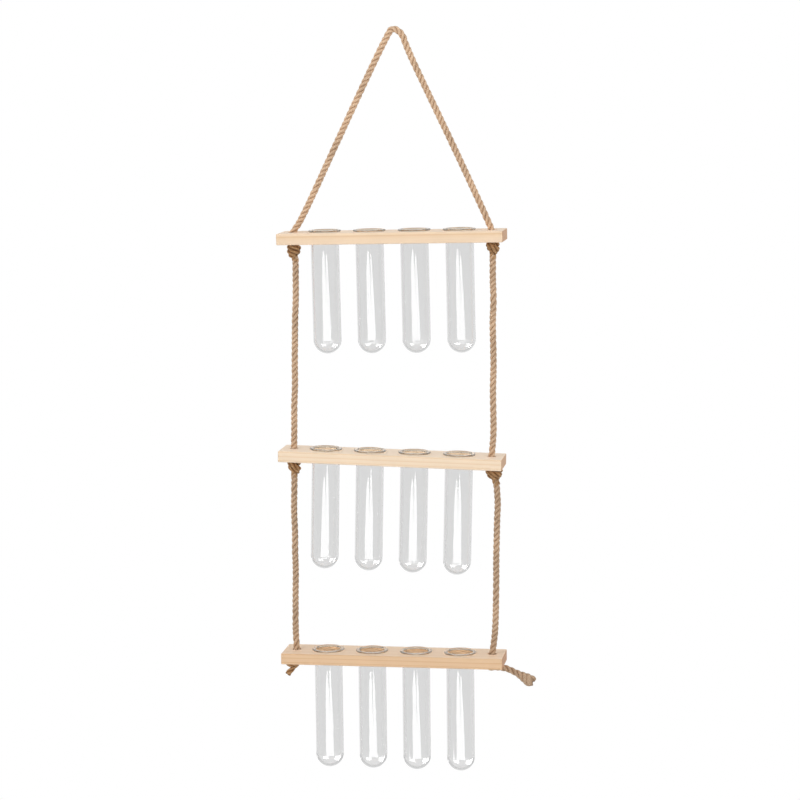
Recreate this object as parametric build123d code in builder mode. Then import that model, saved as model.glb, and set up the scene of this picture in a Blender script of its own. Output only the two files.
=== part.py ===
from build123d import *
import os
from math import asin, atan2, cos, degrees, pi, radians, sin, tan

# Hanging vase: pine slats on one jute rope, each with round-bottomed glass tubes hung in its holes.
# Millimetres. The origin is where a hook carries the rope, +Z is up and -Y is the front.

os.makedirs("parts", exist_ok=True)

# Slats, planed and eased along their edges
slat_length = 200.0
slat_depth = 38.0
slat_thickness = 10.0
slat_edge_radius = 0.8

# Glass tubes, hung by rolled rims that lie on the slats
tubes_per_slat = 4
tube_pitch = 40.0
tube_diameter = 25.0
tube_wall = 1.2
tube_base = 1.8
tube_reach = 108.0
rim_overhang = 2.0
rim_thickness = 1.8
rim_mouth_radius = 1.2
tube_hole_clearance = 0.75

# Rope, and the holes that it goes down through
rope_diameter = 6.0
rope_hole_clearance = 1.0
rope_hole_inset = 11.0
rope_turn_gap = 0.3

# Bend over the hook: the rope leaves it on the right in a short run, then turns down to the slat
hook_diameter = 5.0
hook_run = 12.0
hook_run_fall = 36.0
hook_run_bend_radius = 8.0

# Knots under the slats: a lump that narrows downwards, with one turn of rope slanting round it
knot_diameter = 13.0
knot_core_diameter = 12.0
knot_seat_diameter = 11.0
knot_height = 11.5
last_knot_height = 8.0
knot_middle_share = 0.42
wrap_tightness_share = 0.9
wrap_reach_share = 0.95

# Rope ends past the last knots, measured from the middle of each knot
left_tail_out = 7.0
left_tail_drop = 10.0
left_tail_forward = 3.0
right_tail_bend_out = 14.0
right_tail_bend_drop = 1.0
right_tail_out = 27.0
right_tail_drop = 8.0
right_tail_forward = 2.0
right_tail_run_share = 0.45
fray_length = 12.0
fray_diameter = 11.0

# How the slats hang: hook to top slat, slat to slat, each one's sideways place and roll in degrees
hanger_drop = 172.5
upper_tier_drop = 197.0
lower_tier_drop = 181.5
top_shift = -2.0
middle_shift = -1.5
bottom_shift = 0.0
top_roll = 1.4
middle_roll = -0.9
bottom_roll = 0.7

# Worked-out sizes
rope_radius = rope_diameter / 2
rope_hole_radius = rope_radius + rope_hole_clearance
rope_hole_spacing = slat_length - 2 * rope_hole_inset
tube_radius = tube_diameter / 2
tube_hole_radius = tube_radius + tube_hole_clearance
bore_radius = tube_radius - tube_wall
rim_radius = tube_radius + rim_overhang
rim_edge_radius = rim_thickness / 2
hook_bend_radius = hook_diameter / 2 + rope_radius
wrap_radius = rope_radius * wrap_tightness_share
wrap_ring_radius = knot_diameter / 2 - wrap_radius
middle_drop = hanger_drop + upper_tier_drop
bottom_drop = middle_drop + lower_tier_drop


def tier_place(shift, drop, roll):
    """Middle of a slat's top face, turned about Y so that a positive roll lifts its right end."""
    return Location((shift, 0, -drop), (0, -roll, 0))


def point_on(place, across, forward, down):
    """A point in a tier's own directions, measured from the middle of its slat's top face."""
    return (place * Location((across, -forward, -down))).position


def keep(part, name):
    """Label a finished piece and write it under its name."""
    part.label = name
    export_step(part, f"parts/{name}.step")


def make_slat(place):
    """Pine slat with a row of tube holes between two rope holes."""
    with BuildPart() as slat:
        with BuildSketch(Plane(place)):
            Rectangle(slat_length, slat_depth)
        extrude(amount=-slat_thickness)
        fillet(slat.edges(), slat_edge_radius)
        with BuildSketch(Plane(place)):
            with GridLocations(tube_pitch, 0, tubes_per_slat, 1):
                Circle(tube_hole_radius)
            with GridLocations(rope_hole_spacing, 0, 2, 1):
                Circle(rope_hole_radius)
        extrude(amount=-slat_thickness, mode=Mode.SUBTRACT)
    return slat.part


def make_tube(place, across):
    """Glass tube: one wall turned round its axis, from the round end to the rolled rim."""
    profile = Plane(place * Location((across, 0, 0)) * Plane.XZ.location)
    end_centre = tube_radius - tube_reach
    bore_end_centre = bore_radius + tube_base - tube_reach
    rim_edge = rim_radius - rim_edge_radius
    mouth_edge = bore_radius + rim_mouth_radius
    mouth_start = rim_thickness - rim_mouth_radius
    with BuildPart() as tube:
        with BuildSketch(profile):
            with BuildLine():
                Line((0, tube_base - tube_reach), (0, -tube_reach))
                CenterArc((0, end_centre), tube_radius, -90, 90)
                Polyline((tube_radius, end_centre), (tube_radius, 0), (rim_edge, 0))
                CenterArc((rim_edge, rim_edge_radius), rim_edge_radius, -90, 180)
                Line((rim_edge, rim_thickness), (mouth_edge, rim_thickness))
                CenterArc((mouth_edge, mouth_start), rim_mouth_radius, 90, 90)
                Line((bore_radius, mouth_start), (bore_radius, bore_end_centre))
                CenterArc((0, bore_end_centre), bore_radius, -90, 90)
            make_face()
        revolve(axis=Axis(profile.origin, profile.y_dir))
    return tube.part


def make_knot(place, across, height, turn):
    """Overhand knot with the rope that fills the hole above it."""
    hole = place * Location((across, 0, 0), (0, 0, turn))
    profile = Plane(hole * Plane.XZ.location)
    top, bottom = -slat_thickness, -slat_thickness - height
    middle = top - height * knot_middle_share
    plug_top = -rope_radius - rope_turn_gap
    wrap_rise = wrap_reach_share * (top - middle) - wrap_radius
    wrap_tilt = degrees(asin(wrap_rise / wrap_ring_radius))
    with BuildPart() as knot:
        with BuildSketch(profile):
            with BuildLine():
                Polyline(
                    (rope_radius, bottom),
                    (0, bottom),
                    (0, plug_top),
                    (rope_radius, plug_top),
                    (rope_radius, top),
                    (knot_seat_diameter / 2, top),
                )
                ThreePointArc(
                    (knot_seat_diameter / 2, top),
                    (knot_core_diameter / 2, middle),
                    (rope_radius, bottom),
                )
            make_face()
        revolve(axis=Axis(profile.origin, profile.y_dir))
        with Locations(hole * Location((0, 0, middle), (0, wrap_tilt, 0))):
            Torus(wrap_ring_radius, wrap_radius)
    return knot.part


def rope_ends(*points):
    """Round ends for a stretch of rope, on which it turns in a hole or under a knot."""
    with Locations(*points):
        Sphere(rope_radius)


def tell_rope(name, path, part, bends):
    """Print a rope's bend radii and how its volume compares with its section times its length."""
    radii = ", ".join(f"{bend:.1f}" for bend in bends)
    fill = part.volume / (pi * rope_radius**2 * path.length)
    print(f"{name}: bend radii {radii}, length {path.length:.1f}, volume ratio {fill:.4f}")


def make_span(upper, lower):
    """Taut rope between a knot and the slat below it."""
    with BuildPart() as span:
        with BuildSketch(Plane(upper, z_dir=lower - upper)):
            Circle(rope_radius)
        extrude(amount=(lower - upper).length)
        rope_ends(upper, lower)
    return span.part


def hook_corner(left):
    """Where the lines of the rope's two runs beside the hook would meet above it."""
    hook = Vector(0, 0, -hook_diameter / 2)
    reach = hook - left
    rise = atan2(reach.Z, reach.X) + asin(hook_bend_radius / reach.length)
    fall = -radians(hook_run_fall)
    outward = (rise + fall + pi) / 2
    return hook + Vector(cos(outward), 0, sin(outward)) * (hook_bend_radius / cos((rise - fall) / 2))


def make_hanger(left, right):
    """Taut rope from hole to hole over the hook, bent to the hook's size."""
    corner = hook_corner(left)
    fall = radians(hook_run_fall)
    run_end = corner + Vector(cos(fall), 0, -sin(fall)) * hook_run
    bends = (hook_bend_radius, hook_run_bend_radius)
    with BuildPart() as hanger:
        with BuildLine():
            path = FilletPolyline(left, corner, run_end, right, radius=bends)
        with BuildSketch(Plane(path @ 0, z_dir=path % 0)):
            Circle(rope_radius)
        sweep()
        tell_rope("hanger_rope", path, hanger.part, bends)
        rope_ends(left, right)
    return hanger.part


def make_left_tail(knot_middle, end):
    """Short cut end of the rope under the last left knot."""
    with BuildPart() as tail:
        with BuildSketch(Plane(knot_middle, z_dir=end - knot_middle)):
            Circle(rope_radius)
        extrude(amount=(end - knot_middle).length)
    return tail.part


def make_right_tail(knot_middle, bend, end):
    """Longer end of the rope past the last right knot, spread where its strands have frayed."""
    shorter_run = min((bend - knot_middle).length, (end - bend).length)
    half_turn = radians((bend - knot_middle).get_angle(end - bend)) / 2
    bend_radius = right_tail_run_share * shorter_run / tan(half_turn)
    with BuildPart() as tail:
        with BuildLine():
            path = FilletPolyline(knot_middle, bend, end, radius=bend_radius)
        with BuildSketch(Plane(path @ 0, z_dir=path % 0)):
            Circle(rope_radius)
        sweep()
        tell_rope("tail_right", path, tail.part, (bend_radius,))
        fray = Plane(path @ 1, z_dir=path % 1)
        with BuildSketch(fray):
            Circle(rope_radius)
        with BuildSketch(fray.offset(fray_length)):
            Circle(fray_diameter / 2)
        loft()
    return tail.part


# The three tiers: slats with their tubes, and the knots that carry them
tiers = {
    "top": (tier_place(top_shift, hanger_drop, top_roll), knot_height),
    "middle": (tier_place(middle_shift, middle_drop, middle_roll), knot_height),
    "bottom": (tier_place(bottom_shift, bottom_drop, bottom_roll), last_knot_height),
}
sides = {"left": -rope_hole_spacing / 2, "right": rope_hole_spacing / 2}
knot_turns = {"left": 0, "right": 180}

for tier, (place, height) in tiers.items():
    keep(make_slat(place), f"slat_{tier}")
    for count in range(tubes_per_slat):
        across = (count - (tubes_per_slat - 1) / 2) * tube_pitch
        keep(make_tube(place, across), f"tube_{tier}_{count + 1}")
    for side, across in sides.items():
        keep(make_knot(place, across, height, knot_turns[side]), f"knot_{tier}_{side}")

# The rope's free stretches, from the hook down to the two tails
top_place, middle_place, bottom_place = (place for place, _ in tiers.values())
hanger_ends = [point_on(top_place, across, 0, 0) for across in sides.values()]
keep(make_hanger(*hanger_ends), "hanger_rope")

knot_exit = slat_thickness + knot_height + rope_turn_gap + rope_radius
spans = {"upper": (top_place, middle_place), "lower": (middle_place, bottom_place)}
for span, (above, below) in spans.items():
    for side, across in sides.items():
        upper = point_on(above, across, 0, knot_exit)
        lower = point_on(below, across, 0, 0)
        keep(make_span(upper, lower), f"rope_{span}_{side}")

last_middle = slat_thickness + last_knot_height / 2
left_knot = point_on(bottom_place, sides["left"], 0, last_middle)
left_end = point_on(
    bottom_place, sides["left"] - left_tail_out, left_tail_forward, last_middle + left_tail_drop
)
keep(make_left_tail(left_knot, left_end), "tail_left")

right_knot = point_on(bottom_place, sides["right"], 0, last_middle)
right_bend = point_on(
    bottom_place, sides["right"] + right_tail_bend_out, 0, last_middle + right_tail_bend_drop
)
right_end = point_on(
    bottom_place, sides["right"] + right_tail_out, right_tail_forward, last_middle + right_tail_drop
)
keep(make_right_tail(right_knot, right_bend, right_end), "tail_right")
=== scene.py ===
"""Looks of a hanging vase: pine slats strung on one jute rope, glass tubes hung in their holes.

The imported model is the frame. Slats and tubes keep their solids and get their finishes here. The
rope, its knots and its two ends are laid strand by strand and stand for the plain solids. Routes
and sizes are in millimetres until a mesh is made, and the origin is where a hook carries the rope.
"""

import logging
import math
import random
from dataclasses import dataclass, field
from enum import Enum
from itertools import pairwise
from typing import Any, ClassVar, Sequence

import bmesh
import bpy
from bpy.types import ID, Curve, Material, Mesh, Node, NodeSocket, NodeTree, Object, Spline
from mathutils import Euler, Matrix, Vector, noise


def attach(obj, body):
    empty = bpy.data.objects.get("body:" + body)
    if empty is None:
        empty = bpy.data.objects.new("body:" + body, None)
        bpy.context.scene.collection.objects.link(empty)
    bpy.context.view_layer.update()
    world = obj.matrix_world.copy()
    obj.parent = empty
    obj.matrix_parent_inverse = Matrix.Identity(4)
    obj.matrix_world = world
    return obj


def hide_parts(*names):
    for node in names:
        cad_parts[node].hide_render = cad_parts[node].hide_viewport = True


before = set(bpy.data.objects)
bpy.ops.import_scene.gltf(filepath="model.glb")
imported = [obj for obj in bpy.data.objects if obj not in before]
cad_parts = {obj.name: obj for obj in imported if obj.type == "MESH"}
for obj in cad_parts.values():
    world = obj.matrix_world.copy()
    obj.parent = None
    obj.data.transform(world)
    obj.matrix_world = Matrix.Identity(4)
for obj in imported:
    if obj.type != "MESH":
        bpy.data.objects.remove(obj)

bpy.context.view_layer.update()
LOG = logging.getLogger("vase")
MM = 0.001
# Where nearly all of a noise texture's values lie
NOISE_RANGE = {"From Min": 0.3, "From Max": 0.7}

Pair = tuple[float, float]
Spot = tuple[float, float, float]


class Side(Enum):
    """Which end of a slat a rope hole is at."""

    LEFT = -1
    RIGHT = 1

    @property
    def word(self) -> str:
        """Side as the nodes' names give it."""
        return self.name.lower()


class Tone(Enum):
    """How brightly a stretch of jute is painted lit: most over the slats, in painted shade in the
    knots.
    """

    PALE = 1.22
    FAIR = 1.08
    PLAIN = 0.98
    DEEP = 1.0


def linear(code: str) -> tuple[float, float, float, float]:
    """Turn an sRGB hex colour into the linear one that sockets take.

    Args:
        code: Colour such as "#f0d8b8".

    Returns:
        Red, green, blue and a full alpha.
    """
    parts = [int(code[i : i + 2], 16) / 255 for i in (1, 3, 5)]
    red, green, blue = (p / 12.92 if p <= 0.04045 else ((p + 0.055) / 1.055) ** 2.4 for p in parts)
    return red, green, blue, 1.0


def add_node(
    tree: NodeTree,
    kind: str,
    inputs: dict[Any, Any] | None = None,
    stops: Sequence[tuple[float, str]] = (),
    **settings: Any,
) -> Node:
    """Add one shader node.

    Args:
        tree: Node tree that takes it.
        kind: Node type without the words ShaderNode.
        inputs: Socket name or number to a value, to the output that feeds it, or to the node whose
            first output does.
        stops: Place from 0 to 1 and hex colour of each stop, in order, where it has a ramp.
        settings: Properties of the node itself.

    Returns:
        The node.
    """
    node = tree.nodes.new("ShaderNode" + kind)
    for name, value in settings.items():
        setattr(node, name, value)
    for name, value in (inputs or {}).items():
        if isinstance(value, Node):
            value = value.outputs[0]
        if isinstance(value, NodeSocket):
            tree.links.new(value, node.inputs[name])
        else:
            node.inputs[name].default_value = value
    if stops:
        elements = node.color_ramp.elements
        while len(elements) < len(stops):
            elements.new(1.0)
        for element, (place, code) in zip(elements, stops):
            element.position = place
            element.color = linear(code)
    return node


def start_material(name: str) -> tuple[Material, NodeTree]:
    """Make a material that has no nodes yet.

    Args:
        name: Name of the material.

    Returns:
        Material and its tree.
    """
    material = bpy.data.materials.new(name)
    material.use_nodes = True
    material.node_tree.nodes.clear()
    return material, material.node_tree


def add_object(name: str, data: ID) -> Object:
    """Put a new object into the scene.

    Args:
        name: Name of the object.
        data: Its mesh, camera or lamp.

    Returns:
        The object.
    """
    thing = bpy.data.objects.new(name, data)
    bpy.context.scene.collection.objects.link(thing)
    return thing


def close_mesh(name: str, bm: bmesh.types.BMesh) -> Mesh:
    """Turn a finished bmesh into a mesh.

    Args:
        name: Name of the mesh.
        bm: The bmesh, which is freed.

    Returns:
        The mesh.
    """
    mesh = bpy.data.meshes.new(name)
    bm.to_mesh(mesh)
    bm.free()
    return mesh


def start_curve(name: str, kind: str, count: int) -> tuple[Curve, Spline]:
    """Start a curve of one spline.

    Args:
        name: Name of the curve.
        kind: Type of its spline.
        count: How many points the spline has.

    Returns:
        Curve and spline.
    """
    curve = bpy.data.curves.new(name, "CURVE")
    curve.dimensions = "3D"
    spline = curve.splines.new(kind)
    spline.points.add(count - 1)
    return curve, spline


def draw_curve(curve: Curve) -> Mesh:
    """Turn a curve into the mesh that it draws.

    Args:
        curve: Curve, which is dropped.

    Returns:
        The mesh.
    """
    carrier = bpy.data.objects.new(curve.name, curve)
    mesh = bpy.data.meshes.new_from_object(carrier)
    bpy.data.objects.remove(carrier)
    bpy.data.curves.remove(curve)
    return mesh


@dataclass(frozen=True)
class Tier:
    """One slat's place: its top's middle, from the hook, and a roll that lifts the right end."""

    name: str
    shift: float
    drop: float
    roll: float
    hole_reach: float = 89.0

    @property
    def turn(self) -> Euler:
        """Roll as the slat's rotation."""
        return Euler((0.0, -math.radians(self.roll), 0.0))

    @property
    def place(self) -> Matrix:
        """Slat's own directions, in millimetres from the hook."""
        return Matrix.Translation((self.shift, 0.0, -self.drop)) @ self.turn.to_matrix().to_4x4()

    def own(self, spot: NodeSocket) -> dict[str, Any]:
        """Settings of a mapping that turns a material's place into the place on this slat."""
        middle = [c * MM for c in self.place.translation]
        return {"Vector": spot, "Location": middle, "Rotation": self.turn}

    def point(self, across: float, back: float, up: float) -> Vector:
        """Point in the slat's own directions, as a place from the hook."""
        return self.place @ Vector((across, back, up))

    def hole(self, side: Side, up: float) -> Vector:
        """Point on a rope hole's axis, so far above the slat's top."""
        return self.point(side.value * self.hole_reach, 0.0, up)


@dataclass(frozen=True)
class PlanedPine:
    """Clear pine, sawn along the grain, planed and left raw.

    Wide pale early wood lies between thin warm late-wood lines, straight along the slat. The finish
    is dull, with fine raised fibres. The faces that look up and down get a paler painted sheen, and
    the sawn ends are darker end grain with painted shade on them.
    """

    tier: Tier
    pith: Pair
    early: str
    mid: str
    late: str
    ring_mm: float = 3.4
    ring_stretch: float = 0.05
    waver: float = 3.0
    tilt_deg: float = 0.8
    fibre_mm: float = 0.9
    fibre_run_mm: float = 45.0
    fibre_light: Pair = (0.97, 1.02)
    fibre_depth_mm: float = 0.15
    fibre_stand: float = 0.25
    cast_mm: float = 16.667
    cast_run_mm: float = 55.556
    cast_light: Pair = (0.975, 1.02)
    # Paler colour painted on the faces that look up and down: a painted sheen
    flat: str = "#f3e0cc"
    flat_share: float = 0.35
    flat_facing: Pair = (0.6, 0.95)
    # Sawn ends: real darker end grain, with painted shade added
    end_grain: str = "#caa070"
    end_share: float = 0.8
    end_facing: Pair = (0.55, 0.95)
    end_from_mm: float = 98.0
    roughness: Pair = (0.42, 0.58)
    specular: float = 0.25
    sheen: float = 0.1

    def material(self) -> Material:
        """Make the slat's own material, since its grain is laid along that slat.

        Returns:
            The material.
        """
        material, tree = start_material(f"planed_pine_{self.tier.name}")
        spot = add_node(tree, "TexCoord").outputs
        local = add_node(tree, "Mapping", self.tier.own(spot["Object"]), vector_type="TEXTURE")

        # Fibres, drawn a little coarser than real ones so that they show, and a slow cast of colour
        noises = []
        for width, run, detail in (
            (self.fibre_mm, self.fibre_run_mm, {"Detail": 3.0, "Roughness": 0.6}),
            (self.cast_mm, self.cast_run_mm, {"Detail": 1.0}),
        ):
            along, over = 1 / (run * MM), 1 / (width * MM)
            drawn = add_node(tree, "Mapping", {"Vector": local, "Scale": (along, over, over)})
            noises.append(add_node(tree, "TexNoise", {"Vector": drawn, "Scale": 1.0, **detail}))
        fibre, cast = noises
        fibre_dim, cast_dim, rough = [
            add_node(
                tree, "MapRange", {"Value": value, **NOISE_RANGE, "To Min": low, "To Max": high}
            )
            for value, (low, high) in (
                (fibre, self.fibre_light),
                (cast, self.cast_light),
                (fibre, self.roughness),
            )
        ]
        dim = add_node(tree, "Math", {0: fibre_dim, 1: cast_dim}, operation="MULTIPLY")
        wood = {"Fac": 1.0, "Color1": self.rings(tree, local), "Color2": dim}
        grained = add_node(tree, "MixRGB", wood, blend_type="MULTIPLY")

        # How far each spot faces up or down, and how far along the slat
        facing = add_node(tree, "SeparateXYZ", {0: spot["Normal"]}).outputs
        shares = []
        for way, (low, high), share in (
            (facing["Z"], self.flat_facing, self.flat_share),
            (facing["X"], self.end_facing, self.end_share),
        ):
            turned = add_node(tree, "Math", {0: way}, operation="ABSOLUTE")
            limits = {"From Min": low, "From Max": high, "To Max": share}
            shares.append(add_node(tree, "MapRange", {"Value": turned, **limits}))
        flat_fac, end_fac = shares
        # Painted sheen: faces that look up or down are mixed towards a paler colour
        flat = {"Fac": flat_fac, "Color1": grained, "Color2": linear(self.flat)}
        faced = add_node(tree, "MixRGB", flat)

        # Sawn ends: darker end grain seen along the fibres, with the rings still on them, plus
        # painted shade
        across = add_node(tree, "SeparateXYZ", {0: local}).outputs["X"]
        out = add_node(tree, "Math", {0: across}, operation="ABSOLUTE")
        end_from = {0: out, 1: self.end_from_mm * MM}
        at_end = add_node(tree, "Math", end_from, operation="GREATER_THAN")
        sawn = add_node(tree, "Math", {0: end_fac, 1: at_end}, operation="MULTIPLY")
        end = {"Fac": sawn, "Color1": faced, "Color2": linear(self.end_grain)}
        ended = add_node(tree, "MixRGB", end, blend_type="MULTIPLY")

        rise = {"Height": fibre, "Strength": self.fibre_stand, "Distance": self.fibre_depth_mm * MM}
        look = {
            "Base Color": ended,
            "Roughness": rough,
            "Normal": add_node(tree, "Bump", rise),
            "Specular IOR Level": self.specular,
            "Sheen Weight": self.sheen,
        }
        add_node(tree, "OutputMaterial", {"Surface": add_node(tree, "BsdfPrincipled", look)})
        return material

    def rings(self, tree: NodeTree, local: Node) -> Node:
        """Draw growth rings round a pith that runs beside the slat.

        Args:
            tree: The material's tree.
            local: Place in the slat's own directions.

        Returns:
            Node of the early and late wood's colour.
        """
        tilt = math.radians(self.tilt_deg)
        beside = {
            "Vector": local,
            "Location": (0.0, -self.pith[0] * MM, -self.pith[1] * MM),
            "Rotation": (0.0, tilt, tilt),
            "Scale": (self.ring_stretch, 1.0, 1.0),
        }
        wave = {
            "Vector": add_node(tree, "Mapping", beside),
            # The wave's own unit is a 20th of a radian.
            "Scale": 2 * math.pi / 20 / (self.ring_mm * MM),
            "Distortion": self.waver,
            "Detail": 2.0,
            "Detail Scale": 0.6,
        }
        form = {"wave_type": "RINGS", "rings_direction": "X", "wave_profile": "SAW"}
        pale = ((0.0, self.early), (0.5, self.early))
        stops = (*pale, (0.78, self.mid), (0.92, self.late), (1.0, self.mid))
        drawn = add_node(tree, "TexWave", wave, **form).outputs["Fac"]
        return add_node(tree, "ValToRGB", {"Fac": drawn}, stops)


@dataclass(frozen=True)
class DrawnGlass:
    """Clear laboratory glass, drawn as tube, its end and rim rounded in a flame.

    It is smooth and nearly colourless, grey where two walls lie behind each other, with faint
    lengthwise draw lines that make its reflections waver. The rim is tinted grey-brown, a painted
    reflection of the wood round it.
    """

    tier: Tier
    body: str = "#efefef"
    rim: str = "#d5cbbd"
    rim_edge_mm: Pair = (-0.2, 0.3)
    ior: float = 1.47
    draw_line_mm: float = 2.2
    draw_run_mm: float = 160.0
    draw_depth_mm: float = 0.02
    draw_stand: float = 0.3
    haze: float = 0.03
    haze_from: Pair = (0.35, 0.7)

    def material(self) -> Material:
        """Make the glass that one tier's tubes share.

        Returns:
            The material.
        """
        material, tree = start_material(f"drawn_glass_{self.tier.name}")
        spot = add_node(tree, "TexCoord").outputs["Object"]
        over, along = 1 / (self.draw_line_mm * MM), 1 / (self.draw_run_mm * MM)
        drawn = add_node(tree, "Mapping", {"Vector": spot, "Scale": (over, over, along)})
        lines = add_node(tree, "TexNoise", {"Vector": drawn, "Scale": 1.0, "Detail": 1.0})
        clear, dull = self.haze_from
        dulled = {"Value": lines, "From Min": clear, "From Max": dull, "To Max": self.haze}
        haze = add_node(tree, "MapRange", dulled)
        stand = {"Height": lines, "Strength": self.draw_stand, "Distance": self.draw_depth_mm * MM}
        waver = add_node(tree, "Bump", stand)

        local = add_node(tree, "Mapping", self.tier.own(spot), vector_type="TEXTURE")
        up = add_node(tree, "SeparateXYZ", {0: local}).outputs["Z"]
        low, high = self.rim_edge_mm
        edge = {"Value": up, "From Min": low * MM, "From Max": high * MM}
        at_rim = add_node(tree, "MapRange", edge)
        # The rim's grey-brown tint is a painted reflection of the wood round it
        tint = {"Fac": at_rim, "Color1": linear(self.body), "Color2": linear(self.rim)}
        look = {
            "Base Color": add_node(tree, "MixRGB", tint),
            "Roughness": haze,
            "Normal": waver,
            "IOR": self.ior,
            "Transmission Weight": 1.0,
        }
        add_node(tree, "OutputMaterial", {"Surface": add_node(tree, "BsdfPrincipled", look)})
        return material


@dataclass(frozen=True)
class LaidJute:
    """Three-strand jute, retted and spun: dull golden-brown fibre, with painted highlights on the
    strands' crowns and painted shade deep between them.

    The strands' own lie is kept in two attributes: "crown" is 0 deep between the strands and 1
    outside, and "lie" is the place on a strand pulled straight, in millimetres along and across it.
    """

    tone: Tone
    gap: str = "#967962"
    shade: str = "#b8987b"
    body: str = "#c8a88a"
    crown: str = "#d8bb9e"
    fibre_mm: float = 0.35
    fibre_run_mm: float = 7.0
    fibre_light: Pair = (0.82, 1.1)
    fibre_depth_mm: float = 0.2
    fibre_stand: float = 0.6
    patch_mm: float = 22.0
    patch_light: Pair = (0.86, 1.1)
    roughness: Pair = (0.95, 0.78)
    specular: float = 0.15
    sheen: float = 0.08

    def material(self) -> Material:
        """Make the jute of this tone.

        Returns:
            The material.
        """
        material, tree = start_material(f"laid_jute_{self.tone.name.lower()}")
        crown = add_node(tree, "Attribute", attribute_name="crown").outputs["Fac"]
        lie = add_node(tree, "Attribute", attribute_name="lie").outputs["Vector"]
        spot = add_node(tree, "TexCoord").outputs["Object"]
        # Painted shade deep between the strands, rising to a painted highlight on their crowns
        stops = ((0.0, self.gap), (0.35, self.shade), (0.7, self.body), (1.0, self.crown))
        base = add_node(tree, "ValToRGB", {"Fac": crown}, stops)
        across, along = 1 / self.fibre_mm, 1 / self.fibre_run_mm
        drawn = add_node(tree, "Mapping", {"Vector": lie, "Scale": (along, across, across)})
        spun = {"Vector": drawn, "Scale": 1.0, "Detail": 3.0, "Roughness": 0.65}
        fibre = add_node(tree, "TexNoise", spun)
        patchy = {"Vector": spot, "Scale": 1 / (self.patch_mm * MM), "Detail": 2.0}
        patch = add_node(tree, "TexNoise", patchy)
        # The patches are scaled by the stretch's level of painted light
        fibre_dim, patch_dim, rough = [
            add_node(
                tree,
                "MapRange",
                {"Value": value, **NOISE_RANGE, "To Min": low * whole, "To Max": high * whole},
            )
            for value, (low, high), whole in (
                (fibre, self.fibre_light, 1.0),
                (patch, self.patch_light, self.tone.value),
                (fibre, self.roughness, 1.0),
            )
        ]
        dim = add_node(tree, "Math", {0: fibre_dim, 1: patch_dim}, operation="MULTIPLY")
        dye = {"Fac": 1.0, "Color1": base, "Color2": dim}
        dyed = add_node(tree, "MixRGB", dye, blend_type="MULTIPLY")
        rise = {"Height": fibre, "Strength": self.fibre_stand, "Distance": self.fibre_depth_mm * MM}
        look = {
            "Base Color": dyed,
            "Roughness": rough,
            "Normal": add_node(tree, "Bump", rise),
            "Specular IOR Level": self.specular,
            "Sheen Weight": self.sheen,
        }
        add_node(tree, "OutputMaterial", {"Surface": add_node(tree, "BsdfPrincipled", look)})
        return material


def spline_line(route: Sequence[Vector], step: float, fine: int = 400) -> list[Vector]:
    """Read points off the smooth line that a route pulls.

    Args:
        route: Control points of the line.
        step: Least distance between the points kept.
        fine: Points that the spline gives for each of its pieces.

    Returns:
        Points on the line, from its first end to its last.
    """
    curve, spline = start_curve("route", "NURBS", len(route))
    for control, point in zip(spline.points, route):
        control.co = (*point, 1.0)
    spline.order_u = 3
    spline.use_endpoint_u = True
    spline.resolution_u = fine
    mesh = draw_curve(curve)
    drawn = [v.co.copy() for v in mesh.vertices]
    bpy.data.meshes.remove(mesh)
    kept, run = [drawn[0]], 0.0
    for before, after in pairwise(drawn):
        run += (after - before).length
        if run >= step:
            kept.append(after)
            run = 0.0
    if run > step / 2:
        kept.append(drawn[-1])
    else:
        kept[-1] = drawn[-1]
    return kept


def frames_along(line: Sequence[Vector]) -> list[Matrix]:
    """Lay frames along a line that look ahead and don't turn about it.

    Args:
        line: Points of the line.

    Returns:
        One matrix a point, Z ahead.
    """
    last = len(line) - 1
    ahead = [(line[min(i + 1, last)] - line[max(i - 1, 0)]).normalized() for i in range(len(line))]
    side = (Vector((0.0, 1.0, 0.0)).cross(ahead[0])).normalized()
    frames = []
    for i, point in enumerate(line):
        if i:
            side = ahead[i - 1].rotation_difference(ahead[i]) @ side
        side = (side - ahead[i] * side.dot(ahead[i])).normalized()
        basis = Matrix((side, ahead[i].cross(side), ahead[i])).transposed()
        frames.append(Matrix.Translation(point) @ basis.to_4x4())
    return frames


@dataclass
class Strand:
    """One strand as it lies: its own line, and what the rope is at each of its points."""

    line: list[Vector]
    widths: list[float]
    turns: list[float]
    rope_line: Sequence[Vector]
    rope_radii: list[float]
    runs: Sequence[float]
    number: int


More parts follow.
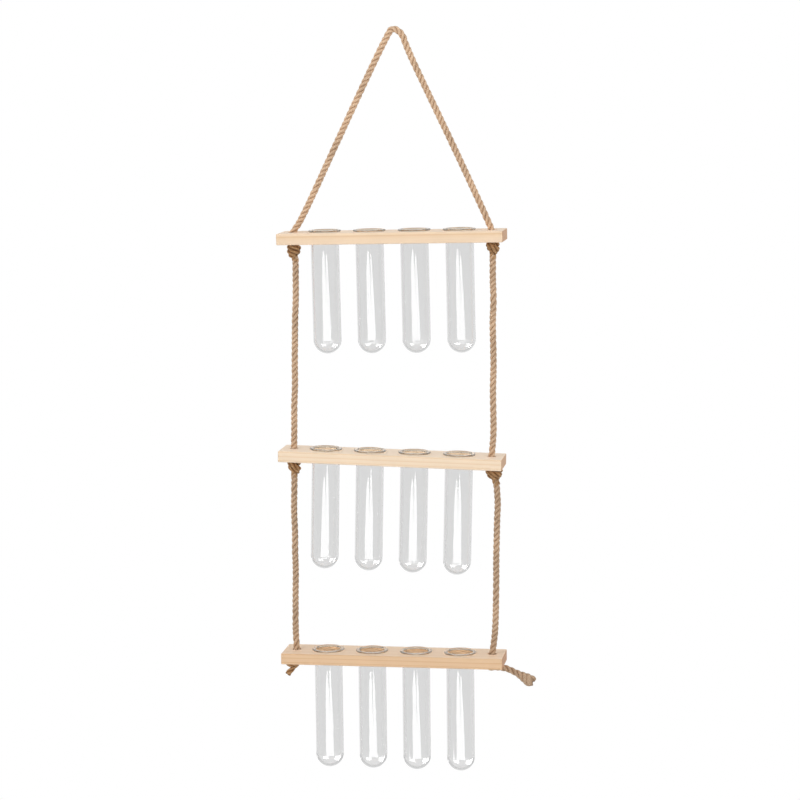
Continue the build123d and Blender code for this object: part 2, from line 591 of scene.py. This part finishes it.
@dataclass
class LaidRope:
    """Laid rope of three strands, each spun from yarns the other way round, with stray fibres."""

    diameter: float = 6.0
    strands: int = 3
    strand_share: float = 0.52
    lay_length: float = 15.3
    lay_wander: float = 0.15
    wander_run: float = 14.0
    throw_run: float = 9.0
    width_run: float = 6.0
    unevenness: float = 0.05
    noise_row: float = 7.3
    width_row: int = 40
    yarns: int = 7
    yarn_groove_share: float = 0.12
    yarn_turn: float = -0.62
    strand_offset: float = 70.0
    crown_from: float = 0.5
    step: float = 0.5
    fuzz_per_mm: float = 0.7
    fuzz_length: Pair = (0.7, 2.0)
    fuzz_radius: float = 0.05
    fuzz_root: float = 0.85
    fuzz_out: Pair = (0.35, 1.0)
    fuzz_along: Pair = (0.5, 1.6)
    fuzz_crown: float = 0.9
    seed: int = 3
    laid: list[Strand] = field(default_factory=list)

    def lay(
        self,
        route: Sequence[Vector],
        phase: float = 0.0,
        spread: float = 1.0,
        spread_run: float = 0.0,
    ) -> list[Vector]:
        """Lay the strands along a route.

        Args:
            route: Control points, in millimetres.
            phase: Turn of the first strand at the start, in radians.
            spread: How many times wider the rope is at its frayed far end.
            spread_run: Length of the frayed end.

        Returns:
            The rope's centreline.
        """
        line = spline_line(route, self.step)
        frames = frames_along(line)
        runs = [0.0]
        for before, after in pairwise(line):
            runs.append(runs[-1] + (after - before).length)
        radii = [self.diameter / 2 * self.swell(runs[-1] - run, spread, spread_run) for run in runs]
        for number in range(self.strands):
            turn = phase + 2 * math.pi * number / self.strands
            strand = Strand([], [], [], line, radii, runs, number)
            for place, run, radius in zip(frames, runs, radii):
                angle = turn + 2 * math.pi * (run / self.lay_length + self.wander(run))
                throw = radius * (1 - self.strand_share) * self.uneven(run / self.throw_run, number)
                out = Vector((math.cos(angle) * throw, math.sin(angle) * throw, 0.0))
                wide = self.uneven(run / self.width_run, number + self.width_row)
                strand.line.append(place @ out)
                strand.widths.append(radius * self.strand_share * wide)
                strand.turns.append(self.yarn_turn * run)
            self.laid.append(strand)
        return line

    def wander(self, run: float) -> float:
        """Share of a turn by which the strands run ahead of an even lay."""
        return self.lay_wander * noise.noise(Vector((run / self.wander_run, 0.5, self.seed + 0.5)))

    def uneven(self, run: float, number: int) -> float:
        """Share near 1 that wanders slowly along a strand."""
        return 1 + self.unevenness * noise.noise(Vector((run, number * self.noise_row, self.seed)))

    @staticmethod
    def swell(left: float, spread: float, spread_run: float) -> float:
        """Tell how many times wider than elsewhere the rope is near a frayed end.

        Args:
            left: What is left of the rope to its end.
            spread: How many times wider it is there.
            spread_run: Length of the frayed end.

        Returns:
            The rope's width here, as a share of its plain width.
        """
        if not spread_run or left > spread_run:
            return 1.0
        share = 1 - left / spread_run
        return 1 + (spread - 1) * share * share * (3 - 2 * share)

    def strand_mesh(self, strand: Strand) -> Mesh:
        """Spin one strand's yarns along its line.

        Args:
            strand: The strand.

        Returns:
            Its mesh, open at the ends, with the layers that the finish reads.
        """
        curve, spline = start_curve("strand", "POLY", len(strand.line))
        curve.bevel_depth = 1.0
        curve.bevel_resolution = self.yarns - 2
        points = zip(spline.points, strand.line, strand.widths, strand.turns)
        for control, point, width, turn in points:
            control.co = (*point, 1.0)
            control.radius = width
            control.tilt = turn
        mesh = draw_curve(curve)
        sides = 2 * self.yarns
        mesh.attributes.new("lie", "FLOAT_VECTOR", "POINT")
        mesh.attributes.new("crown", "FLOAT", "POINT")
        lie, crown = mesh.attributes["lie"], mesh.attributes["crown"]
        for vert in mesh.vertices:
            at, corner = divmod(vert.index, sides)
            if corner % 2:
                vert.co = vert.co.lerp(strand.line[at], self.yarn_groove_share)
            angle, width = 2 * math.pi * corner / sides, strand.widths[at]
            lie.data[vert.index].vector = (
                strand.runs[at] + self.strand_offset * strand.number,
                math.cos(angle) * width,
                math.sin(angle) * width,
            )
            out = (vert.co - strand.rope_line[at]).length / strand.rope_radii[at]
            height = (out - self.crown_from) / (1 - self.crown_from)
            crown.data[vert.index].value = min(1.0, max(0.0, height))
        return mesh

    def add_fuzz(self, bm: bmesh.types.BMesh, chance: random.Random) -> None:
        """Let stray fibres stand out of the strands.

        Args:
            bm: Mesh that takes them.
            chance: Where each one stands.
        """
        crown = bm.verts.layers.float["crown"]
        for strand in self.laid:
            for _ in range(int(strand.runs[-1] * self.fuzz_per_mm / self.strands)):
                at = chance.randrange(1, len(strand.line))
                ahead = (strand.line[at] - strand.line[at - 1]).normalized()
                turn = Matrix.Rotation(chance.uniform(0, 2 * math.pi), 3, ahead)
                out = turn @ ahead.orthogonal().normalized()
                root = strand.line[at] + out * strand.widths[at] * self.fuzz_root
                along = chance.choice((-1, 1)) * chance.uniform(*self.fuzz_along)
                way = (out * chance.uniform(*self.fuzz_out) + ahead * along).normalized()
                length = chance.uniform(*self.fuzz_length)
                stand = way.to_track_quat("Z", "Y").to_matrix().to_4x4()
                place = Matrix.Translation(root + way * length / 2) @ stand
                size = {"radius1": self.fuzz_radius, "radius2": 0.0, "depth": length}
                hair = bmesh.ops.create_cone(bm, cap_ends=True, segments=3, matrix=place, **size)
                for vert in hair["verts"]:
                    vert[crown] = self.fuzz_crown

    def finish(self, name: str, body: str, node: str, material: Material) -> Object:
        """Make the rope's object and put it in a node's place.

        Args:
            name: Name of the piece.
            body: Body that it rides on.
            node: Node that it stands for.
            material: Its jute.

        Returns:
            The piece.
        """
        fuzz = bmesh.new()
        fuzz.verts.layers.float_vector.new("lie")
        fuzz.verts.layers.float.new("crown")
        self.add_fuzz(fuzz, random.Random(self.seed))
        stray = close_mesh("stray", fuzz)
        bm = bmesh.new()
        for part in [self.strand_mesh(strand) for strand in self.laid]:
            bm.from_mesh(part)
            bpy.data.meshes.remove(part)
        bmesh.ops.holes_fill(bm, edges=[e for e in bm.edges if e.is_boundary], sides=0)
        bm.from_mesh(stray)
        bpy.data.meshes.remove(stray)
        bmesh.ops.scale(bm, vec=(MM, MM, MM), verts=bm.verts)
        bmesh.ops.recalc_face_normals(bm, faces=bm.faces)
        mesh = close_mesh(name, bm)
        mesh.shade_smooth()
        mesh.materials.append(material)
        piece = add_object(name, mesh)
        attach(piece, body)
        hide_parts(node)
        LOG.info("%s: %d faces", name, len(mesh.polygons))
        return piece


@dataclass
class Slats:
    """The three slats, which keep their solids and get wood with its own grain each."""

    tiers: Sequence[Tier]
    piths: Sequence[Pair] = ((46.0, -31.0), (-38.0, 42.0), (14.0, -52.0))
    wavers: Sequence[float] = (2.0, 2.5, 6.0)
    tones: Sequence[tuple[str, str, str]] = (
        ("#f6dbbd", "#f3d5b3", "#e9c69e"),
        ("#f8e1c6", "#f5dbbc", "#eecfab"),
        ("#e7c49f", "#e5c099", "#dab087"),
    )

    def dress(self) -> None:
        """Give each slat its pine."""
        for tier, pith, waver, tones in zip(self.tiers, self.piths, self.wavers, self.tones):
            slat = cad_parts[f"slat_{tier.name}"]
            slat.data.materials.clear()
            slat.data.materials.append(PlanedPine(tier, pith, *tones, waver=waver).material())
            LOG.info("%s: planed pine", slat.name)


@dataclass
class Tubes:
    """The glass tubes, which keep their turned solids."""

    tiers: Sequence[Tier]
    per_tier: int = 4

    def dress(self) -> None:
        """Give every tube its tier's glass."""
        for tier in self.tiers:
            glass = DrawnGlass(tier).material()
            for count in range(1, self.per_tier + 1):
                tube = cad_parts[f"tube_{tier.name}_{count}"]
                tube.data.materials.clear()
                tube.data.materials.append(glass)
                LOG.info("%s: drawn glass", tube.name)


@dataclass(frozen=True)
class KnotForm:
    """How one knot is tied: its turns round the rope from the slat down, and where the rope leaves.

    Heights are from the slat's top, and leave is how far beside the hole's axis the rope hangs on.
    """

    seed: int
    start_deg: float
    turns: float = 2.1
    reach: float = 4.1
    last_reach: float = 1.8
    top: float = -12.7
    bottom: float = -18.4
    lean: float = 0.8
    shift: float = 0.0
    back: float = 0.0
    leave: float = 0.0
    exit: float = -25.5
    points_per_turn: int = 12


@dataclass
class Ropes:
    """The rope's free stretches, its knots and its two ends."""

    FORMS: ClassVar[dict[str, KnotForm]] = {
        "knot_top_left": KnotForm(
            seed=213, start_deg=200.0, last_reach=2.6, bottom=-20.0, shift=1.0, leave=2.2
        ),
        "knot_top_right": KnotForm(
            seed=34, start_deg=20.0, last_reach=2.2, bottom=-19.0, lean=-1.6, shift=0.3, leave=0.2
        ),
        "knot_middle_left": KnotForm(
            seed=16, start_deg=0.0, last_reach=2.6, bottom=-20.6, lean=-2.0, shift=0.4, leave=0.5
        ),
        "knot_middle_right": KnotForm(
            seed=27, start_deg=10.0, reach=5.6, last_reach=2.4, bottom=-19.0, lean=-0.6,
            shift=2.6, leave=5.6,
        ),
        "knot_bottom_left": KnotForm(
            seed=196, start_deg=180.0, turns=1.2, reach=4.6, last_reach=3.6, bottom=-13.6,
            lean=0.3, shift=-4.0, exit=-14.5,
        ),
        "knot_bottom_right": KnotForm(
            seed=37, start_deg=20.0, turns=1.2, reach=3.2, last_reach=2.8, bottom=-12.8,
            lean=0.1, back=3.0, exit=-14.0,
        ),
    }
    # How far each stretch wanders sideways as it goes down
    WAVES: ClassVar[dict[tuple[str, Side], Sequence[float]]] = {
        ("upper", Side.LEFT): (2.2, 2.4, 2.2, 1.5, 1.2, 1.0, 1.2, 0.3, 0.3, 0.0),
        ("upper", Side.RIGHT): (0.2, 0.0, 1.1, 0.2, 0.9, 1.4, 0.7, 1.3, 1.7, 0.0),
        ("lower", Side.LEFT): (0.5, 0.1, -0.6, 0.3, -0.3, 0.4, -0.4, -0.6, -1.0, 0.0),
        ("lower", Side.RIGHT): (4.4, 6.2, 5.0, 4.7, 4.0, 4.1, 3.7, 3.4, 2.5, 0.0),
    }
    SPAN_SEEDS: ClassVar[dict[str, int]] = {"upper": 25, "lower": 20}
    # Lower stretches are painted darker than the upper ones: painted shade
    SPAN_TONES: ClassVar[dict[str, Tone]] = {"upper": Tone.FAIR, "lower": Tone.PLAIN}

    top: Tier
    middle: Tier
    bottom: Tier
    diameter: float = 6.0
    knot_rope: float = 5.3
    cut_end: float = 5.0
    knot_exit: float = -21.8
    knot_tuck: float = 1.5
    plug_top: float = -3.4
    dip: float = -1.9
    last_knot: float = -13.6
    sway: float = 0.3
    hanger_bend: Sequence[Pair] = (
        (-83.0, -164.5), (-51.2, -96.5), (-18.5, -27.5), (-5.6, -2.2), (-1.4, 4.6),
        (7.4, -0.4), (10.8, -11.5), (23.5, -38.5), (51.8, -96.0),
    )
    left_end: Sequence[Spot] = ((0.0, 0.0, 0.0), (-4.0, -1.0, -3.6), (-8.2, -3.0, -9.2))
    right_end: Sequence[Spot] = (
        (0.0, 4.0, 0.5), (10.0, 4.0, 0.4), (17.0, 3.0, -2.0), (26.0, 1.0, -5.8),
        (35.5, -1.4, -10.9),
    )
    jute: dict[Tone, Material] = field(init=False)

    def __post_init__(self) -> None:
        """Spin the jute at each level of painted light, with darker, warmer painted shade in the
        knots.
        """
        faded = (Tone.PALE, Tone.FAIR, Tone.PLAIN)
        self.jute = {tone: LaidJute(tone).material() for tone in faded}
        # The knots' jute is darker and warmer: painted shade under the slats
        unfaded = LaidJute(
            Tone.DEEP, gap="#6b4a2f", shade="#936b47", body="#ae855c", crown="#c6a077"
        )
        self.jute[Tone.DEEP] = unfaded.material()

    def build(self) -> None:
        """Lay everything, the knots first."""
        knots = {name: self.tie(name, form) for name, form in self.FORMS.items()}
        self.hang()
        self.span("upper", self.top, self.middle)
        self.span("lower", self.middle, self.bottom)
        self.end_left()
        self.end_right()

    def tie(self, name: str, form: KnotForm) -> Object:
        """Tie one knot: the rope straight through it, and its turns round that.

        Args:
            name: Knot's node.
            form: How it is tied.

        Returns:
            The knot's piece.
        """
        _, tier_name, side_name = name.split("_")
        tier, side = getattr(self, tier_name), Side[side_name.upper()]
        rope = LaidRope(diameter=self.diameter, seed=form.seed)
        base = side.value * tier.hole_reach
        through = [
            tier.point(base, 0.0, self.plug_top),
            tier.point(base, 0.0, (form.top + form.bottom) / 2),
            tier.point(base + form.leave, 0.0, form.exit),
        ]
        rope.lay(through)
        rope.diameter = self.knot_rope
        count = round(form.turns * form.points_per_turn)
        route = [tier.point(base, 0.0, form.top + self.knot_tuck)]
        for i in range(count + 1):
            share = i / count
            reach = form.reach + (form.last_reach - form.reach) * share * share
            angle = math.radians(form.start_deg) + 2 * math.pi * form.turns * share
            across = base + form.shift + reach * math.cos(angle)
            slant = form.lean * share * (1 - share) * 4 * math.cos(angle)
            height = form.top + (form.bottom - form.top) * share + slant
            route.append(tier.point(across, form.back + reach * math.sin(angle), height))
        route.append(tier.point(base + form.leave, 0.0, form.bottom))
        rope.lay(route, phase=1.0)
        return rope.finish(f"tied_{name}", f"{tier_name}_slat", name, self.jute[Tone.DEEP])

    def hang(self) -> None:
        """Lay the rope from the top slat's left hole over the hook to its right hole.
        """
        route = [self.top.hole(Side.LEFT, up) for up in (self.dip, 0.0)]
        route += [Vector((across, 0.0, up)) for across, up in self.hanger_bend]
        route += [self.top.hole(Side.RIGHT, up) for up in (0.0, self.dip)]
        rope = LaidRope(diameter=self.diameter, seed=11)
        line = rope.lay(route, phase=0.6)
        piece = rope.finish("laid_hanger_rope", "hanger", "hanger_rope", self.jute[Tone.PALE])

    def span(self, word: str, above: Tier, below: Tier) -> None:
        """Lay the two stretches between one slat's knots and the slat below.

        Args:
            word: Which stretch, as the nodes' names give it.
            above: Slat that the knots carry.
            below: Slat whose holes the rope goes into.
        """
        for side in Side:
            waves = self.WAVES[word, side]
            start, end = above.hole(side, self.knot_exit), below.hole(side, 0.0)
            route = []
            for i, wave in enumerate(waves):
                point = start.lerp(end, i / (len(waves) - 1))
                route.append(point + Vector((wave, self.sway * (-1) ** i, 0.0)))
            route.append(below.hole(side, self.dip))
            rope = LaidRope(diameter=self.diameter, seed=self.SPAN_SEEDS[word] + side.value)
            line = rope.lay(route, phase=0.4 * side.value)
            node = f"rope_{word}_{side.word}"
            jute = self.jute[self.SPAN_TONES[word]]
            piece = rope.finish(f"laid_{node}", f"{word}_ropes", node, jute)

    def end_route(self, side: Side, offsets: Sequence[Spot]) -> list[Vector]:
        """Route of a rope end, given across, back and up from where the last knot lets it go."""
        base = side.value * self.bottom.hole_reach
        return [self.bottom.point(base + x, back, self.last_knot + up) for x, back, up in offsets]

    def end_left(self) -> None:
        """Lay the short cut end under the last left knot."""
        rope = LaidRope(diameter=self.cut_end, seed=31)
        rope.lay(self.end_route(Side.LEFT, self.left_end), spread=1.15, spread_run=6.0)
        rope.finish("laid_tail_left", "bottom_slat", "tail_left", self.jute[Tone.DEEP])

    def end_right(self) -> None:
        """Lay the longer end past the last right knot, its strands spread where they are cut.
        """
        rope = LaidRope(diameter=self.diameter, seed=37)
        route = self.end_route(Side.RIGHT, self.right_end)
        line = rope.lay(route, spread=1.9, spread_run=18.0)
        piece = rope.finish("laid_tail_right", "bottom_slat", "tail_right", self.jute[Tone.PLAIN])


@dataclass(frozen=True)
class Studio:
    """Pale floor, soft light all round and the photograph's camera, in metres.

    A tier card's outline is in degrees round the vase and in shares of the way from its tip to its
    foot. Tips and foot are in millimetres below the slat's top. End cards and lamps are given as
    their methods take them.
    """

    eye: Spot = (0.3388, -2.1529, -0.0162)
    target: Spot = (0.00545, 0.0, -0.3224)
    lens: float = 111.6
    far_clip: float = 60.0
    glass_bounces: int = 256
    floor_drop: float = 2.6
    floor_radius: float = 5.0
    floor_sides: int = 64
    floor_tint: str = "#e9e9e9"
    floor_roughness: float = 0.9
    floor_glow: float = 1.15
    floor_glow_share: float = 0.8
    floor_gloss: float = 0.28
    white: str = "#ffffff"
    world_light: float = 0.75
    room_light: Pair = (0.45, 0.9)
    room_from: Pair = (-0.6, 1.0)
    inside_light: float = 4.0
    card_light: float = 8.8
    card_stand_off: float = 1.0
    card_tips: Sequence[float] = (10.5, 18.0, 9.5)
    card_foot: float = 106.0
    card_slit: Sequence[Pair] = ((9.0, 1.0), (9.0, 0.6))
    card_left: Sequence[Pair] = (
        (0.0, 0.05), (-5.0, 0.035), (-12.0, 0.07), (-16.0, 0.13), (-21.0, 0.22), (-25.0, 0.54),
        (-26.5, 1.0), *card_slit, (5.5, 0.2),
    )
    card_right: Sequence[Pair] = (
        *card_slit[::-1], (43.0, 1.0), (39.0, 0.54), (29.5, 0.22), (26.0, 0.13), (22.5, 0.06),
        (19.0, 0.0), (13.0, 0.03), (11.0, 0.08), (10.5, 0.2),
    )
    end_card_light: float = 12.0
    end_card_reach: float = 1.6
    end_cards: Sequence[tuple[str, float, float, Pair]] = (
        ("card_low_right", 88.0, 2.1, (-2.55, -1.2)),
        ("card_low_left", -32.0, 1.4, (-2.05, -1.15)),
    )
    lamps: Sequence[tuple[str, Spot, float, float]] = (
        ("key", (-1.5, -1.7, 0.9), 1.3, 17.5),
        ("fill", (1.6, -1.2, 0.4), 1.2, 6.0),
    )

    def build(self, tiers: Sequence[Tier]) -> None:
        """Set up camera, floor, light and background.

        Args:
            tiers: Tiers whose tubes the light cards are for.
        """
        scene = bpy.context.scene
        scene.view_settings.view_transform = "Standard"
        scene.cycles.max_bounces = self.glass_bounces
        scene.cycles.transmission_bounces = self.glass_bounces
        scene.cycles.glossy_bounces = self.glass_bounces
        self.add_camera()
        self.add_floor()
        self.light_world()
        for tier, tip in zip(tiers, self.card_tips):
            self.add_tier_card(tier, tip)
        for name, degrees, width, heights in self.end_cards:
            self.add_end_card(name, degrees, width, heights)
        for name, place, size, power in self.lamps:
            self.add_lamp(name, place, size, power)

    def aim(self, thing: Object, place: Spot) -> None:
        """Stand a camera or lamp at a place, turned to the vase.

        Args:
            thing: The camera or lamp.
            place: Where it stands.
        """
        thing.location = place
        look = Vector(self.target) - Vector(place)
        thing.rotation_euler = look.to_track_quat("-Z", "Y").to_euler()

    def add_camera(self) -> None:
        """Stand the camera where the photograph was taken from."""
        data = bpy.data.cameras.new("camera")
        data.lens = self.lens
        data.clip_end = self.far_clip
        camera = add_object("camera", data)
        self.aim(camera, self.eye)
        bpy.context.scene.camera = camera

    def seen(self, tree: NodeTree, gloss: float) -> Node:
        """Tell which rays show a background.

        Args:
            tree: Node tree that asks.
            gloss: Answer for a ray that comes by way of gloss.

        Returns:
            Node that gives 1 for the camera's own rays and for those by way of glass.
        """
        path = add_node(tree, "LightPath").outputs
        clear = {0: path["Is Camera Ray"], 1: path["Is Transmission Ray"]}
        shown = add_node(tree, "Math", clear, operation="MAXIMUM")
        glossy = self.by_gloss(tree)
        either = add_node(tree, "Math", {0: shown, 1: glossy}, operation="MAXIMUM")
        share = {0: glossy, 1: gloss - 1.0, 2: either}
        return add_node(tree, "Math", share, operation="MULTIPLY_ADD")

    @staticmethod
    def by_gloss(tree: NodeTree) -> Node:
        """Node that gives 1 for a ray that any surface has mirrored, even inside a glass wall."""
        depth = add_node(tree, "LightPath").outputs["Glossy Depth"]
        return add_node(tree, "Math", {0: depth, 1: 1.0}, operation="MINIMUM")

    def light_world(self) -> None:
        """Light softly from all round, before white, with a dimmer room in the vase's gloss."""
        world = bpy.data.worlds.new("studio")
        bpy.context.scene.world = world
        world.use_nodes = True
        tree = world.node_tree
        tree.nodes.clear()
        way = add_node(tree, "TexCoord").outputs["Generated"]
        (near, far), (near_light, far_light) = self.room_from, self.room_light
        across_room = {
            "Value": add_node(tree, "SeparateXYZ", {0: way}).outputs["Y"],
            "From Min": near,
            "From Max": far,
            "To Min": near_light - 1.0,
            "To Max": far_light - 1.0,
        }
        room = add_node(tree, "MapRange", across_room)
        # What lies behind glass gets more, because the lamps' own light stops at it here.
        mirrored = self.by_gloss(tree)
        bounces = add_node(tree, "LightPath").outputs["Diffuse Depth"]
        lit = add_node(tree, "Math", {0: bounces, 1: mirrored}, operation="GREATER_THAN")
        more = {0: lit, 1: self.inside_light - 1.0, 2: 1.0}
        inside = add_node(tree, "Math", more, operation="MULTIPLY_ADD")
        dimmed = {0: room, 1: mirrored, 2: inside}
        strength = add_node(tree, "Math", dimmed, operation="MULTIPLY_ADD")
        light, behind = [
            add_node(tree, "Background", {"Color": linear(self.white), "Strength": power})
            for power in (self.world_light, strength)
        ]
        shown = {0: self.seen(tree, 1.0), 1: light, 2: behind}
        add_node(tree, "OutputWorld", {"Surface": add_node(tree, "MixShader", shown)})

    def add_floor(self) -> None:
        """Lay a pale floor well under the vase, white to the camera but for shadows."""
        bm = bmesh.new()
        bmesh.ops.create_circle(
            bm, cap_ends=True, segments=self.floor_sides, radius=self.floor_radius
        )
        bmesh.ops.translate(bm, vec=(0.0, 0.0, -self.floor_drop), verts=bm.verts)
        mesh = close_mesh("floor", bm)
        material, tree = start_material("matt_floor")
        paint = {"Base Color": linear(self.floor_tint), "Roughness": self.floor_roughness}
        light = {"Color": linear(self.white), "Strength": self.floor_glow}
        share = {0: self.seen(tree, self.floor_gloss), 1: self.floor_glow_share}
        parts = {
            0: add_node(tree, "Math", share, operation="MULTIPLY"),
            1: add_node(tree, "BsdfPrincipled", paint),
            2: add_node(tree, "Emission", light),
        }
        add_node(tree, "OutputMaterial", {"Surface": add_node(tree, "MixShader", parts)})
        mesh.materials.append(material)
        add_object("floor", mesh)

    def add_tier_card(self, tier: Tier, tip: float) -> None:
        """Stand a slit light card, pointed at its top, whose reflection runs down a tier's tubes.

        Args:
            tier: Tier that it stands before.
            tip: How far below the slat's top its tip shows in the tubes, in millimetres.
        """
        stand_off, away = self.card_stand_off, math.hypot(*self.eye[:2])
        for name, outline in (("left", self.card_left), ("right", self.card_right)):
            corners = []
            for degrees, share in outline:
                turn = math.radians(degrees)
                height = -(tier.drop + tip + share * (self.card_foot - tip)) * MM
                seen_at = height - stand_off / math.cos(turn) / away * (self.eye[2] - height)
                corners.append(Vector((stand_off * math.tan(turn), -stand_off, seen_at)))
            self.add_card(f"card_{tier.name}_{name}", corners, self.card_light)

    def add_end_card(self, name: str, degrees: float, width: float, heights: Pair) -> None:
        """Stand a light card low beside the vase, mirrored as a spot in the tubes' round ends.

        Args:
            name: Name of the card.
            degrees: Where it stands, round from the front to the right.
            width: Its width.
            heights: Heights of its foot and top.
        """
        turn = Matrix.Rotation(math.radians(degrees), 3, "Z")
        half, (foot, top) = width / 2, heights
        sides = ((-half, foot), (half, foot), (half, top), (-half, top))
        corners = [turn @ Vector((across, -self.end_card_reach, up)) for across, up in sides]
        self.add_card(name, corners, self.end_card_light)

    def add_card(self, name: str, corners: Sequence[Vector], light: float) -> None:
        """Make a light card that shows only where a piece's outer face mirrors it.

        Rays that have been inside glass pass through it, so that the walls keep grey edges.

        Args:
            name: Name of the card.
            corners: Its corners in turn.
            light: How bright it is.
        """
        bm = bmesh.new()
        bm.faces.new([bm.verts.new(corner) for corner in corners])
        mesh = close_mesh(name, bm)
        material, tree = start_material(name)
        glow = {"Color": linear(self.white), "Strength": light}
        walls = add_node(tree, "LightPath").outputs["Transmission Depth"]
        outer = add_node(tree, "Math", {0: walls, 1: 1.0}, operation="LESS_THAN")
        parts = {
            0: add_node(tree, "Math", {0: self.by_gloss(tree), 1: outer}, operation="MULTIPLY"),
            1: add_node(tree, "BsdfTransparent"),
            2: add_node(tree, "Emission", glow),
        }
        add_node(tree, "OutputMaterial", {"Surface": add_node(tree, "MixShader", parts)})
        mesh.materials.append(material)
        card = add_object(name, mesh)
        card.visible_camera = False
        card.visible_diffuse = False
        card.visible_shadow = False

    def add_lamp(self, name: str, place: Spot, size: float, power: float) -> None:
        """Hang one soft lamp, turned to the vase.

        Args:
            name: Name of the lamp.
            place: Where it hangs.
            size: Side of its square face.
            power: Its power in watts.
        """
        data = bpy.data.lights.new(name, "AREA")
        data.size = size
        data.energy = power
        lamp = add_object(name, data)
        self.aim(lamp, place)
        lamp.visible_camera = False
        lamp.visible_glossy = False


def main() -> None:
    """Dress the vase and set up its studio."""
    logging.basicConfig(level=logging.INFO, format="%(message)s")
    tiers = (
        Tier("top", shift=-2.0, drop=172.5, roll=1.4),
        Tier("middle", shift=-1.5, drop=369.5, roll=-0.9),
        Tier("bottom", shift=0.0, drop=551.0, roll=0.7),
    )
    Studio().build(tiers)
    Ropes(*tiers).build()
    Slats(tiers).dress()
    Tubes(tiers).dress()
    bpy.context.view_layer.update()


if __name__ == "__main__":
    main()
